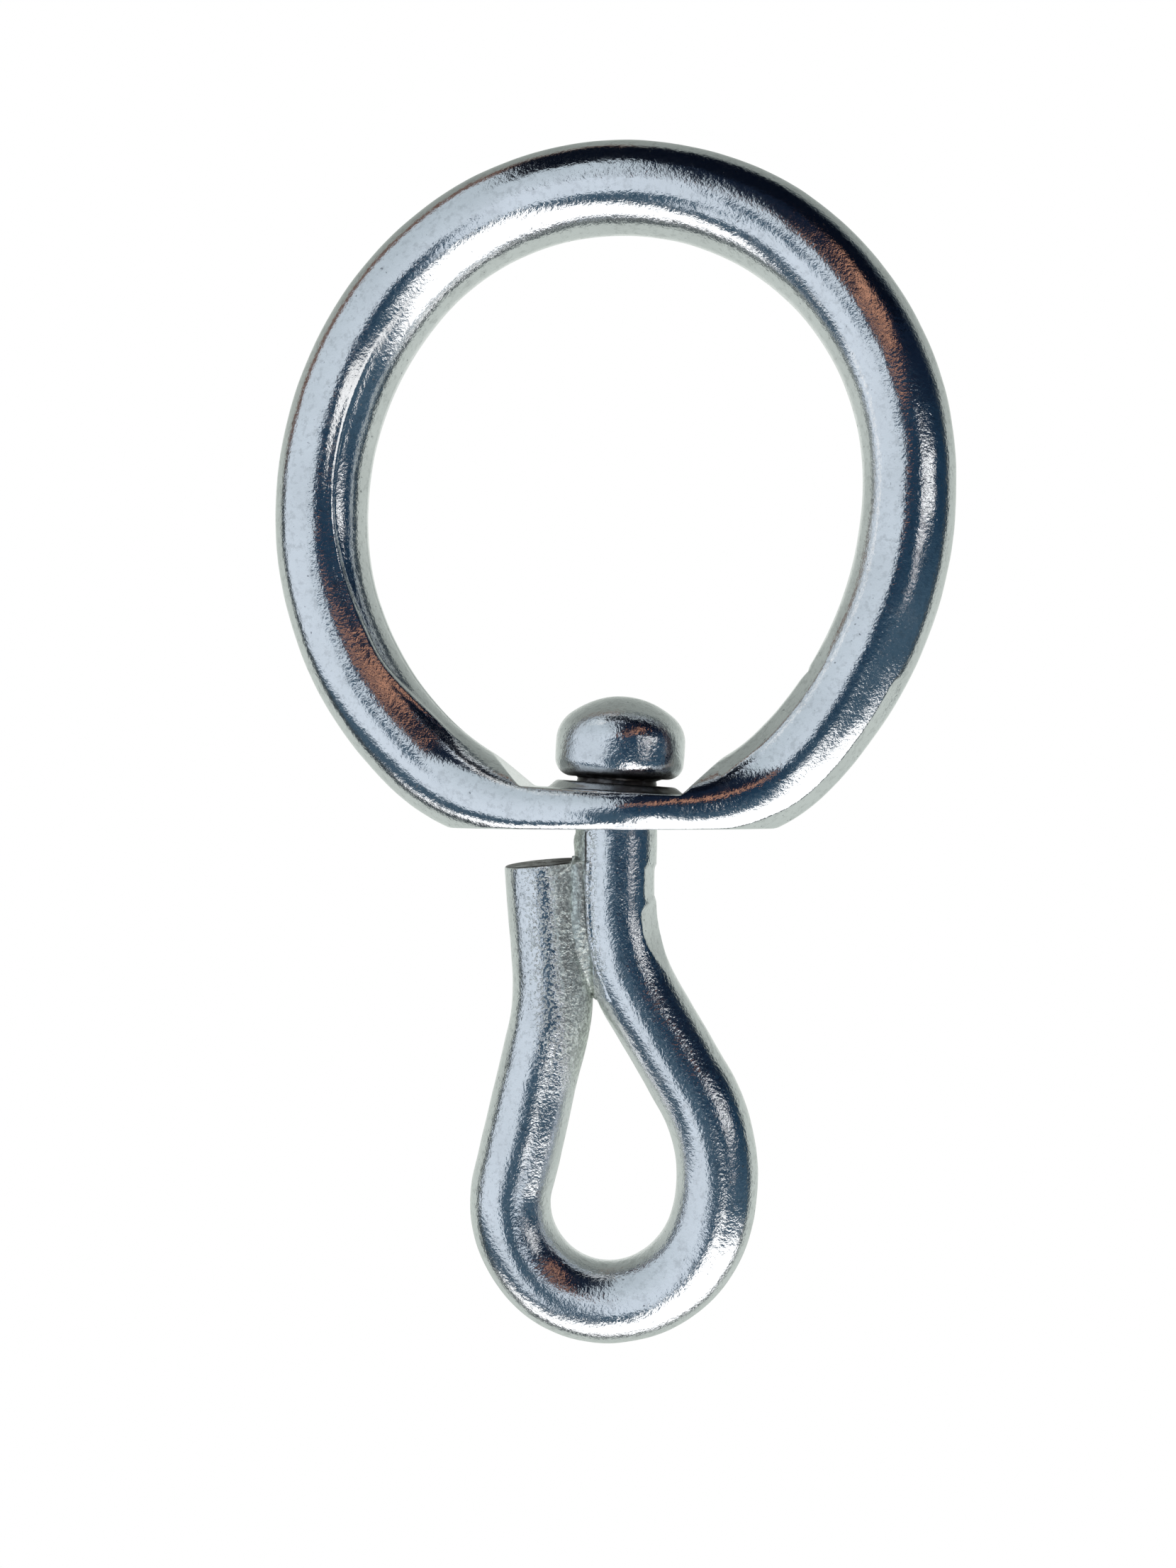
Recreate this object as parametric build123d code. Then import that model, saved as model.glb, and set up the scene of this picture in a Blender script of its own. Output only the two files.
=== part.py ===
from build123d import *
from math import atan2, cos, degrees, radians, sin
import os

# Swivel ring and eye of a meat-hanging set. A forged ring carries a headed rod in
# the pierced flat at its bottom. The rod turns in the hole and is bent into an eye.
#
# Frame: millimetres, +Z up, hanging upright. The origin is on the swivel axis, at the
# inside of the ring's crown, where the ring bears on its rail. The ring and the eye
# both lie in the XZ plane, and -Y is the front.

# ---------------------------------------------------------------- driving dimensions

BAR_DIAMETER = 9.05  # round bar of the ring
ROD_DIAMETER = 8.0  # round rod of the eye
RING_DROP = 54.25  # from the inside of the crown down to the spot-faced floor
FLAT_THICKNESS = 3.5  # of the pierced flat, from its floor to its underside
FLAT_HALF_DEPTH = 8.4  # the bar spreads to this on each side of the ring's plane
FLAT_HALF_HEIGHT = 3.3  # the spread bar's half height, before it is faced

# The bar as it is bent, from the crown down to each end of the round stretch:
# (radius of the centreline, angle turned). The real ring is a little out of round.
LEFT_BENDS = [(27.8, 52.6), (34.5, 34.8), (32.2, 49.8)]
RIGHT_BENDS = [(27.8, 44.1), (29.2, 44.7), (37.9, 46.3)]

POCKET_LEFT = -8.6  # where the left wall of the spot face meets its floor
POCKET_RIGHT = 6.6
POCKET_WALL_ANGLE = 45.0  # of both walls, from the floor
POCKET_HEIGHT = 8.0
FLOOR_SLANT = 3.3  # degrees, the floor falls towards the right

BOSS_FOOT_RADIUS = 6.5
BOSS_TOP_RADIUS = 5.7
BOSS_HEIGHT = 0.72  # at the axis, above the floor
BOSS_SLANT = 0.7  # degrees more than the floor, falling towards the right
HOLE_CLEARANCE = 0.3  # between the rod and the hole, all round

HEAD_RADIUS = 6.35
HEAD_SIDE = 2.07  # the straight side between the two roundings
HEAD_CORNER_RADIUS = 1.65  # of the rounding under the head
HEAD_SHOULDER_RADIUS = 3.2  # of the rounding above the side
HEAD_DOME_HEIGHT = 4.3  # from the top of the side to the top of the dome
HEAD_OFFSET = 0.3  # the upset head sits this far to the right of the rod's axis
HEAD_LEAN = 2.5  # degrees, towards the right
HEAD_GAP = 0.68  # at the axis, between the head and the boss, so that neither binds

SHANK_LENGTH = 10.65  # straight rod below the floor of the spot face
# The eye's centreline below the shank, in order: ("arc", radius, turn) with a
# positive turn to the left of travel, and ("line", length).
EYE_RUN = [
    ("arc", 18.7, 30.4),
    ("line", 9.75),
    ("arc", 16.8, -47.3),
    ("arc", 10.8, -61.5),
    ("arc", 9.4, -40.0),
]
TAIL_RUN = [
    ("arc", 9.4, -75.0),
    ("line", 14.2),
    ("arc", 23.6, 17.7),
    ("line", 10.6),
]
TAIL_END_FALL = 3.0  # degrees, the cut end falls towards the front
TAIL_END_RISE = 5.0  # degrees, and rises towards the shank
TAIL_TOP = -61.1  # height of the cut end at the tail's axis

WELD_HALF_DEPTH = 3.1  # of the weld on each side of the ring's plane
WELD_TOP = -60.6
WELD_BOTTOM = -74.1

# ------------------------------------------------------------------- derived sizes

BAR_RADIUS = BAR_DIAMETER / 2
ROD_RADIUS = ROD_DIAMETER / 2
FLOOR_Z = -RING_DROP
UNDERSIDE_Z = FLOOR_Z - FLAT_THICKNESS
FLAT_MIDDLE_Z = FLOOR_Z - FLAT_THICKNESS / 2
HEAD_SEAT_Z = FLOOR_Z + BOSS_HEIGHT + HEAD_GAP
FAR = 60.0  # longer than anything that it cuts


def point(x, z):
    """A point of the XZ plane."""
    return Vector(x, 0, z)


def direction(heading):
    """The unit vector at this many degrees above +X, in the XZ plane."""
    return Vector(cos(radians(heading)), 0, sin(radians(heading)))


def bend(start, heading, radius, turn):
    """A tangent arc in the XZ plane, as (edge, end, heading at its end).

    A positive turn is anticlockwise as seen from the front.
    """
    side = 1 if turn > 0 else -1
    centre = start + direction(heading + 90 * side) * radius
    middle = centre - direction(heading + turn / 2 + 90 * side) * radius
    end = centre - direction(heading + turn + 90 * side) * radius
    return ThreePointArc(start, middle, end), end, heading + turn


def run(start, heading, steps):
    """A chain of tangent arcs and lines, as (edges, end, heading at its end)."""
    edges = []
    for kind, size, *turn in steps:
        if kind == "arc":
            edge, start, heading = bend(start, heading, size, turn[0])
        else:
            end = start + direction(heading) * size
            edge = Line(start, end)
            start = end
        edges.append(edge)
    return edges, start, heading


def tube(edges, start, heading, radius):
    """A round bar along a chain of edges."""
    section = Plane(origin=start, x_dir=(0, 1, 0), z_dir=direction(heading)) * Circle(radius)
    return sweep(section, path=Wire(edges))


# ------------------------------------------------------------------- swivel ring


def spread_section(place, heading, spread):
    """The bar's section where it has spread from round (0) to its full width (1).

    heading is the way from left to right along the bar, so the section starts below.
    """
    half_depth = BAR_RADIUS + spread * (FLAT_HALF_DEPTH - BAR_RADIUS)
    half_height = BAR_RADIUS + spread * (FLAT_HALF_HEIGHT - BAR_RADIUS)
    plane = Plane(origin=place, x_dir=direction(heading - 90), z_dir=direction(heading))
    return plane * Ellipse(half_height, half_depth)


def leg_sections(end, heading, side):
    """Sections from a leg's round end (heading down) almost to the middle of the flat.

    The leg turns level on one arc, which lands on the flat's middle height, and then
    runs straight. The bar spreads evenly over the whole of that way.
    """
    turn_left = side * 180 - heading if side < 0 else -heading
    radius = (end.Z - FLAT_MIDDLE_Z) / (1 - cos(radians(turn_left)))
    _, level_start, level = bend(end, heading, radius, turn_left)
    arc_length = radius * radians(abs(turn_left))
    whole_length = arc_length + abs(level_start.X)
    sections = []
    for part_way in (0, 0.25, 0.5, 0.75):
        along = part_way * whole_length
        if part_way == 0:
            place, here = end, heading
        elif along < arc_length:
            _, place, here = bend(end, heading, radius, turn_left * along / arc_length)
        else:
            place, here = level_start + direction(level) * (along - arc_length), level
        spread = sin(radians(90 * part_way)) ** 2
        sections.append(spread_section(place, here if side > 0 else here + 180, spread))
    return sections


def swivel_ring():
    crown = point(0, BAR_RADIUS)
    left_steps = [("arc", radius, turn) for radius, turn in LEFT_BENDS]
    right_steps = [("arc", radius, -turn) for radius, turn in RIGHT_BENDS]
    left_edges, left_end, left_heading = run(crown, 180, left_steps)
    right_edges, right_end, right_heading = run(crown, 0, right_steps)
    ring = tube(left_edges, crown, 180, BAR_RADIUS)
    ring += tube(right_edges, crown, 0, BAR_RADIUS)

    sections = leg_sections(left_end, left_heading - 360, 1)
    sections.append(spread_section(point(0, FLAT_MIDDLE_Z), 0, 1))
    sections += reversed(leg_sections(right_end, right_heading, -1))
    ring += loft(sections)

    # the underside is pressed flat
    below = Box(2 * FAR, 2 * FAR, FAR, align=(Align.CENTER, Align.CENTER, Align.MAX))
    ring -= Pos(0, 0, UNDERSIDE_Z) * below

    # the floor is spot-faced between the legs, with sloping walls
    lean = POCKET_HEIGHT / sin(radians(POCKET_WALL_ANGLE)) * cos(radians(POCKET_WALL_ANGLE))
    left_z = FLOOR_Z - POCKET_LEFT * sin(radians(FLOOR_SLANT))
    right_z = FLOOR_Z - POCKET_RIGHT * sin(radians(FLOOR_SLANT))
    pocket = Plane.XZ * Polygon(
        (POCKET_LEFT, left_z),
        (POCKET_RIGHT, right_z),
        (POCKET_RIGHT + lean, right_z + POCKET_HEIGHT),
        (POCKET_LEFT - lean, left_z + POCKET_HEIGHT),
        align=None,
    )
    ring -= extrude(pocket, amount=FAR, both=True)

    # the boss round the hole, rooted in the flat, with its slightly slanting top
    reach = 2 * BOSS_HEIGHT
    taper = (BOSS_FOOT_RADIUS - BOSS_TOP_RADIUS) / BOSS_HEIGHT
    boss = Cone(
        BOSS_FOOT_RADIUS + taper * BOSS_HEIGHT,
        BOSS_FOOT_RADIUS - taper * reach,
        BOSS_HEIGHT + reach,
        align=(Align.CENTER, Align.CENTER, Align.MIN),
    )
    boss = Pos(0, 0, -BOSS_HEIGHT) * boss
    above = Box(2 * FAR, 2 * FAR, FAR, align=(Align.CENTER, Align.CENTER, Align.MIN))
    boss -= Pos(0, 0, BOSS_HEIGHT) * Rot(0, BOSS_SLANT, 0) * above
    ring += Pos(0, 0, FLOOR_Z) * Rot(0, FLOOR_SLANT, 0) * boss
    ring -= Pos(0, 0, FLOOR_Z) * Cylinder(ROD_RADIUS + HOLE_CLEARANCE, FAR / 2)
    return ring


# ------------------------------------------------------------------- eye rod


def head():
    """The upset head: a flat seat, a rounded corner, a short side and a dome.

    The dome is one arc about the head's axis that meets the shoulder's arc.
    """
    inset = HEAD_RADIUS - HEAD_SHOULDER_RADIUS
    rise = HEAD_DOME_HEIGHT
    dome_radius = (inset**2 + rise**2 - HEAD_SHOULDER_RADIUS**2) / (
        2 * (rise - HEAD_SHOULDER_RADIUS)
    )
    shoulder_turn = degrees(atan2(dome_radius - rise, inset))
    steps = [
        ("line", HEAD_RADIUS - HEAD_CORNER_RADIUS),
        ("arc", HEAD_CORNER_RADIUS, 90),
        ("line", HEAD_SIDE),
        ("arc", HEAD_SHOULDER_RADIUS, shoulder_turn),
        ("arc", dome_radius, 90 - shoulder_turn),
    ]
    outline, top, _ = run(point(0, 0), 0, steps)
    outline.append(Line(top, point(0, 0)))
    seat = Pos(HEAD_OFFSET, 0, HEAD_SEAT_Z) * Rot(0, HEAD_LEAN, 0)
    return seat * revolve(make_face(outline), Axis.Z)


def eye_rod():
    shank_top = point(0, HEAD_SEAT_Z + HEAD_CORNER_RADIUS)
    shank_bottom = point(0, FLOOR_Z - SHANK_LENGTH)
    edges, low_point, heading = run(shank_bottom, -90, EYE_RUN)
    edges.insert(0, Line(shank_top, shank_bottom))
    shank_side = tube(edges, shank_top, -90, ROD_RADIUS)
    tail_edges, tail_end, _ = run(low_point, heading, TAIL_RUN)
    tail_side = tube(tail_edges, low_point, heading, ROD_RADIUS)

    # the tail is cropped on a slant
    crop = Box(FAR, FAR, FAR, align=(Align.CENTER, Align.CENTER, Align.MIN))
    crop = Rot(TAIL_END_FALL, -TAIL_END_RISE, 0) * crop
    tail_side -= Pos(tail_end.X, 0, TAIL_TOP) * crop
    return shank_side + tail_side + head()


# ------------------------------------------------------------------- weld


def weld_bead(rod):
    """Weld metal that fills the valley between the tail and the shank."""
    valley = Plane.XZ * Polygon(
        (-5.6, WELD_TOP),
        (-0.8, WELD_TOP),
        (-0.8, WELD_BOTTOM + 9),
        (1.4, WELD_BOTTOM),
        (-5.4, WELD_BOTTOM),
        align=None,
    )
    return extrude(valley, amount=WELD_HALF_DEPTH, both=True) - rod


# ------------------------------------------------------------------- output

rod = eye_rod()
parts = {
    "swivel_ring": swivel_ring(),
    "eye_rod": rod,
    "weld_bead": weld_bead(rod),
}

os.makedirs("parts", exist_ok=True)
for name, shape in parts.items():
    export_step(shape, f"parts/{name}.step")
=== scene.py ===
from math import atan2, ceil, cos, degrees, pi, radians, sin

import bmesh
import bpy
import numpy as np
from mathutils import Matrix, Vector, noise


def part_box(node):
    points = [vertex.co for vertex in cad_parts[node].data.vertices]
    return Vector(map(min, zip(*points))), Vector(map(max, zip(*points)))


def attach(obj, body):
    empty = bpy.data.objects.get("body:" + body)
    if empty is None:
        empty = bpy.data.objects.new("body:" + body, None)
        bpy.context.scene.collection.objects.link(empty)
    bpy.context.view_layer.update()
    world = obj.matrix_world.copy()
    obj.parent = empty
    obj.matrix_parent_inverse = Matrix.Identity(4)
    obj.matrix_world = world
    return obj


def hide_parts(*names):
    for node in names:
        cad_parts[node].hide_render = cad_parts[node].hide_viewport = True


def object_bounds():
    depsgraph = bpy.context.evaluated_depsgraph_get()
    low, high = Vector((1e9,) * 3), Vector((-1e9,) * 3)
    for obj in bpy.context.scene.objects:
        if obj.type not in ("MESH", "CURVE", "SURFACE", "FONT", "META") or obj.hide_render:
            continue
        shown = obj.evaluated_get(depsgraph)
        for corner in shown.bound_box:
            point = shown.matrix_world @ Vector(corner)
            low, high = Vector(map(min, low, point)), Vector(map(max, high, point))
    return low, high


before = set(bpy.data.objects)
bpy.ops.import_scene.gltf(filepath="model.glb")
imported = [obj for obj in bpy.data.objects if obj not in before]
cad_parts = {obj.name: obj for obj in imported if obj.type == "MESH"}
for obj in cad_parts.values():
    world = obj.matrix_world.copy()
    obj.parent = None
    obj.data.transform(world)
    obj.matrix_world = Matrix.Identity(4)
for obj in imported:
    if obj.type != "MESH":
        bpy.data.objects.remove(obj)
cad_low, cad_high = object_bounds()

# A swivel ring and eye in plated forged steel. The ring, the headed rod and the weld are
# each one continuous quad mesh along the same centreline as the CAD piece that it stands
# for. Lengths here are millimetres, and become metres when a mesh is made.
MM = 0.001

# ---------------------------------------------------------------- sizes, as in the CAD

BAR_RADIUS = 4.525
ROD_RADIUS = 4.0
FLOOR_Z = -54.25
FLOOR_SLANT = 3.3
UNDERSIDE_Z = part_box("swivel_ring")[0].z / MM
FLAT_MIDDLE_Z = (FLOOR_Z + UNDERSIDE_Z) / 2
FLAT_HALF_DEPTH = 8.4
FLAT_HALF_HEIGHT = 3.3
LEFT_BENDS = [(27.8, 52.6), (34.5, 34.8), (32.2, 49.8)]
RIGHT_BENDS = [(27.8, 44.1), (29.2, 44.7), (37.9, 46.3)]
POCKET_LEFT = -8.6
POCKET_RIGHT = 6.6
BOSS_FOOT_RADIUS = 6.5
BOSS_TOP_RADIUS = 5.7
BOSS_HEIGHT = 0.72
BOSS_SLANT = 0.7
HOLE_RADIUS = 4.3
HEAD_RADIUS = 6.35
HEAD_SIDE = 2.07
HEAD_CORNER_RADIUS = 1.65
HEAD_SHOULDER_RADIUS = 3.2
HEAD_DOME_HEIGHT = 4.3
HEAD_OFFSET = 0.3
HEAD_LEAN = 2.5
HEAD_GAP = 0.68
HEAD_SEAT_Z = FLOOR_Z + BOSS_HEIGHT + HEAD_GAP
SHANK_LENGTH = 10.65
SHANK_END_Z = FLOOR_Z - SHANK_LENGTH
EYE_RUN = [
    ("arc", 18.7, 30.4),
    ("line", 9.75),
    ("arc", 16.8, -47.3),
    ("arc", 10.8, -61.5),
    ("arc", 9.4, -40.0),
]
TAIL_RUN = [
    ("arc", 9.4, -75.0),
    ("line", 14.2),
    ("arc", 23.6, 17.7),
    ("line", 10.6),
]
TAIL_END_FALL = 3.0
TAIL_END_RISE = 5.0
TAIL_X = -7.9
TAIL_TOP = -61.1
WELD_TOP = -60.4
WELD_BOTTOM = -74.3

# ---------------------------------------------------------------- small helpers

DEEP = np.array([0, 1, 0])


def smooth(low, high, value):
    """0 below low, 1 above high, and an S curve between them."""
    t = np.clip((np.asarray(value, float) - low) / (high - low), 0, 1)
    return t * t * (3 - 2 * t)


def band(rise_from, rise_to, fall_from, fall_to, value):
    """1 from rise_to to fall_from, 0 outside the band, and an S curve at each end."""
    return smooth(rise_from, rise_to, value) * smooth(fall_to, fall_from, value)


def soft_max(a, b, width):
    """The larger of a and b, rounded over where they cross."""
    h = np.maximum(width - np.abs(a - b), 0) / width
    return np.maximum(a, b) + h * h * width / 4


def soft_min(a, b, width):
    return -soft_max(-a, -b, width)


def rounded_box(wave, power):
    """A sine or cosine reshaped, so that an ellipse (power 2) turns squarer."""
    return np.sign(wave) * np.abs(wave) ** (2 / power[:, None])


def inside_box(rows, node):
    """The same points, kept within the box of the CAD node."""
    low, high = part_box(node)
    return np.clip(rows, np.array(low) / MM, np.array(high) / MM)


def ripple(points, wavelength, seed):
    """Smooth noise from about -1 to 1, whose features are one wavelength across."""
    shift = Vector((seed * 17.3, seed * -9.1, seed * 5.7))
    scale = 1 / wavelength
    values = [noise.noise(Vector(p) * scale + shift) for p in points.reshape(-1, 3)]
    return np.array(values).reshape(points.shape[:-1])


def ripples(points, layers):
    """Several ripples added up. Each layer is its height, wavelength and seed."""
    return sum(height * ripple(points, wavelength, seed) for height, wavelength, seed in layers)


class Path:
    """A centreline in the XZ plane, made of tangent arcs and lines."""

    def __init__(self, x, z, heading):
        self.x = x
        self.z = z
        self.heading = heading
        self.samples = [(x, z, heading)]

    def line(self, length, step):
        count = max(1, ceil(length / step))
        x, z = self.x, self.z
        for i in range(1, count + 1):
            reach = length * i / count
            self.x = x + reach * cos(radians(self.heading))
            self.z = z + reach * sin(radians(self.heading))
            self.samples.append((self.x, self.z, self.heading))

    def arc(self, radius, turn, step):
        side = 1 if turn > 0 else -1
        count = max(2, ceil(radius * abs(radians(turn)) / step))
        start = radians(self.heading)
        centre_x = self.x - side * radius * sin(start)
        centre_z = self.z + side * radius * cos(start)
        for i in range(1, count + 1):
            here = start + radians(turn) * i / count
            self.x = centre_x + side * radius * sin(here)
            self.z = centre_z - side * radius * cos(here)
            self.samples.append((self.x, self.z, degrees(here)))
        self.heading += turn

    def follow(self, steps, step):
        for kind, size, *turn in steps:
            if kind == "arc":
                self.arc(size, turn[0], step)
            else:
                self.line(size, step)


def in_plane(x, z):
    """Points (x, 0, z), one row each."""
    return np.stack([x, np.zeros(len(x)), z], axis=-1)


def new_object(name, data):
    made = bpy.data.objects.new(name, data)
    bpy.context.scene.collection.objects.link(made)
    return made


def mesh_from(work, name):
    """A mesh from a finished bmesh, which is freed."""
    mesh = bpy.data.meshes.new(name)
    work.to_mesh(mesh)
    work.free()
    return mesh


def grid_mesh(name, rows, closed_rows, caps=False):
    """A quad mesh from rows of points (rows, around, 3) in millimetres.

    Every row is a closed loop. closed_rows joins the last row to the first; caps
    closes the first and the last row with one face each.
    """
    count, around, _ = rows.shape
    index = np.arange(count * around).reshape(count, around)
    after = np.roll(index, -1, axis=1)
    last = count if closed_rows else count - 1
    following = np.roll(index, -1, axis=0)[:last]
    following_after = np.roll(after, -1, axis=0)[:last]
    quads = np.stack([index[:last], after[:last], following_after, following], axis=-1)
    faces = quads.reshape(-1, 4).tolist()
    if caps:
        faces.append(index[0][::-1].tolist())
        faces.append(index[-1].tolist())
    mesh = bpy.data.meshes.new(name)
    mesh.from_pydata((rows.reshape(-1, 3) * MM).tolist(), [], faces)
    mesh.update()
    work = bmesh.new()
    work.from_mesh(mesh)
    bmesh.ops.recalc_face_normals(work, faces=work.faces)
    work.to_mesh(mesh)
    work.free()
    return mesh


def piece(name, mesh, material, body, node, sharp_angle):
    """A shown object that stands for a CAD node and rides on its body.

    It is shaded smooth, apart from edges that turn by more than sharp_angle degrees.
    """
    mesh.polygons.foreach_set("use_smooth", [True] * len(mesh.polygons))
    mesh.set_sharp_from_angle(angle=radians(sharp_angle))
    made = new_object(name, mesh)
    mesh.materials.clear()
    mesh.materials.append(material)
    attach(made, body)
    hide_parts(node)


# ---------------------------------------------------------------- swivel ring

RING_AROUND = 176
RING_STEP = 0.42
FLAT_STEP = 0.2
FLAT_SQUARENESS = 0.6
RING_WAVES = [(0.07, 11, 1), (0.035, 4.2, 2), (0.014, 1.7, 3)]
RING_INSET = 0.06  # keeps the waves inside the CAD bar
FLASH_HEIGHT = 0.13
FLASH_WIDTH = 0.35
RIGHT_OVAL = 0.05
LEFT_OVAL = -0.03
PRESSED_EDGE = 0.12
POCKET_EDGE = 0.5
DRILL_LENGTH = 16


def half_ring(bends, side):
    """Samples (x, z, heading, spread) from the crown to the middle of the flat.

    side is 1 for the left half and -1 for the right half. spread grows from 0 on the
    round bar to 1 in the middle of the flat.
    """
    path = Path(0, BAR_RADIUS, 180 if side > 0 else 0)
    for radius, turn in bends:
        path.arc(radius, side * turn, RING_STEP)
    round_count = len(path.samples)
    level = 360 if side > 0 else -180
    turn = level - path.heading
    radius = (path.z - FLAT_MIDDLE_Z) / (1 - cos(radians(turn)))
    path.arc(radius, turn, FLAT_STEP)
    path.line(abs(path.x), FLAT_STEP)
    samples = np.array(path.samples)
    flat_count = len(samples) - round_count
    spread = np.zeros(len(samples))
    spread[round_count:] = np.sin(np.linspace(0, pi / 2, flat_count + 1)[1:]) ** 2
    if side < 0:
        samples[:, 2] += 180
    return np.column_stack([samples, spread])


def trim_facet(out, deep, share, angle, depth):
    """Shaves a flat band along the bar, where the flash was ground off.

    angle is the band's place round the section, from the outside towards the front.
    """
    direction_out = cos(radians(angle))
    direction_deep = -sin(radians(angle))
    reach = out * direction_out + deep * direction_deep
    limit = BAR_RADIUS - depth * share[:, None]
    over = np.maximum(reach - limit, 0) * (share[:, None] > 0)
    return out - over * direction_out, deep - over * direction_deep


def flash_line(out, deep, share, angle):
    """Raises a thin ridge along the bar, which the die's parting line left.

    angle is as in trim_facet, one for each row. The metal inside the ridge is lower.
    """
    around = np.degrees(np.arctan2(-deep, out))
    off = (around - angle[:, None]) * pi / 180 * BAR_RADIUS
    crest = FLASH_HEIGHT * np.exp(-((off / FLASH_WIDTH) ** 2))
    step = 0.5 * FLASH_HEIGHT * smooth(0, FLASH_WIDTH, off) * smooth(9, 4, off)
    scale = 1 + share[:, None] * (crest - step) / BAR_RADIUS
    return out * scale, deep * scale


def ring_section(x, z, spread, turn):
    """How far each point lies out from the centreline, and deep behind it."""
    half_height = BAR_RADIUS + spread * (FLAT_HALF_HEIGHT - BAR_RADIUS)
    half_depth = BAR_RADIUS + spread * (FLAT_HALF_DEPTH - BAR_RADIUS)
    power = 2 + FLAT_SQUARENESS * spread
    out = half_height[:, None] * rounded_box(np.cos(turn), power)
    deep = half_depth[:, None] * rounded_box(np.sin(turn), power)

    # the die's trim marks: inside the left leg, and on both sides of the right leg
    left_inside = smooth(-9, -13, x) * band(-53, -50, -20, -6, z)
    ridge_angle = 115 + 14 * smooth(-24, -42, z) + 16 * smooth(-42, -50, z)
    out, deep = flash_line(out, deep, left_inside, ridge_angle)
    right_outside = smooth(8, 14, x) * band(-57, -54, -42.5, -41.5, z)
    out, deep = trim_facet(out, deep, right_outside, angle=27, depth=0.16)
    right_inside = smooth(9, 14, x) * band(-55, -52, -44, -41, z)
    out, deep = trim_facet(out, deep, right_inside, angle=150, depth=0.14)

    # the legs' bar is a little oval, on the diagonal
    oval = RIGHT_OVAL * smooth(14, 24, x) + LEFT_OVAL * smooth(-14, -24, x)
    oval = oval * band(-52, -42, -8, 8, z)
    scale = 1 + oval[:, None] * np.sin(2 * np.arctan2(deep, out))
    return out * scale, deep * scale


def press_faces(rows, turn):
    """Flattens the underside, and cuts the pocket with its boss into the flat.

    Only the bar's outside next to the underside and its inside near the flat change.
    """
    x, y, z = rows[..., 0], rows[..., 1], rows[..., 2]
    outside = np.cos(turn)[None, :] > 0
    underside = UNDERSIDE_Z + 0.012 * ripple(rows, 2.2, 4) + 0.02
    lowest = soft_max(z, underside, PRESSED_EDGE)
    z = np.where(outside & (z < UNDERSIDE_Z + 3), lowest, z)
    past_pocket = np.maximum(np.maximum(POCKET_LEFT - x, x - POCKET_RIGHT), 0)
    floor = FLOOR_Z - np.clip(x, POCKET_LEFT, POCKET_RIGHT) * sin(radians(FLOOR_SLANT))
    floor = floor + soft_max(past_pocket, 0, POCKET_EDGE) + 0.012 * ripple(rows, 1.4, 5)
    boss = BOSS_HEIGHT - x * sin(radians(BOSS_SLANT))
    floor = floor + boss * smooth(BOSS_FOOT_RADIUS + 0.3, BOSS_TOP_RADIUS - 0.1, np.hypot(x, y))
    near_flat = ~outside & (z < FLOOR_Z + 12)
    z = np.where(near_flat, soft_min(z, floor, PRESSED_EDGE), z)
    return np.stack([x, y, z], axis=-1)


def ring_mesh():
    """The ring's skin without its hole: the bar along the centreline, then its marks."""
    left = half_ring(LEFT_BENDS, 1)
    right = half_ring(RIGHT_BENDS, -1)
    x, z, heading, spread = np.concatenate([right[::-1], left[1:-1]]).T
    angle = np.radians(heading)
    outward = in_plane(np.sin(angle), -np.cos(angle))
    centre = in_plane(x, z)
    turn = np.linspace(0, 2 * pi, RING_AROUND, endpoint=False)
    out, deep = ring_section(x, z, spread, turn)
    rows = centre[:, None] + out[..., None] * outward[:, None] + deep[..., None] * DEEP
    # hammered and polished, so nowhere quite even
    off_line = rows - centre[:, None]
    off_line /= np.linalg.norm(off_line, axis=-1, keepdims=True)
    rows += (ripples(rows, RING_WAVES) - RING_INSET)[..., None] * off_line
    rows = inside_box(press_faces(rows, turn), "swivel_ring")
    return grid_mesh("swivel_ring_skin", rows, closed_rows=True)


def pierce(mesh):
    """Cuts the round hole through the flat."""
    work = bmesh.new()
    radius = HOLE_RADIUS * MM
    bmesh.ops.create_cone(
        work, cap_ends=True, segments=96, radius1=radius, radius2=radius, depth=DRILL_LENGTH * MM
    )
    bmesh.ops.translate(work, verts=work.verts, vec=(0, 0, FLAT_MIDDLE_Z * MM))
    blank = new_object("ring_blank", mesh)
    drill = new_object("drill", mesh_from(work, "drill"))
    cut = blank.modifiers.new("hole", "BOOLEAN")
    cut.operation = "DIFFERENCE"
    cut.solver = "EXACT"
    cut.object = drill
    cut_blank = blank.evaluated_get(bpy.context.evaluated_depsgraph_get())
    result = bpy.data.meshes.new_from_object(cut_blank)
    for made in (blank, drill):
        bpy.data.objects.remove(made)
    return result


# ---------------------------------------------------------------- eye rod

ROD_AROUND = 120
ROD_STEP = 0.34
ROD_WAVES = [(0.09, 9, 21), (0.045, 3.5, 22), (0.016, 1.5, 23)]
ROD_INSET = 0.05
HEAD_DENTS = [(0.10, 6.0, 41), (0.03, 2.4, 42)]
HEAD_INSET = 0.07
HEAD_BARREL = 0.03
NECK_RADIUS = 0.35
NECK_LENGTH = 0.6
NICK_DEPTH = 0.2
BRUISE_DEPTH = 0.42
BRUISE_ANGLE = 22
TAIL_RIM_RADIUS = 0.28
TAIL_END_LENGTH = 2.0
CROPPED_GRAIN = [(0.06, 1.3, 11), (0.03, 0.5, 12)]


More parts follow.
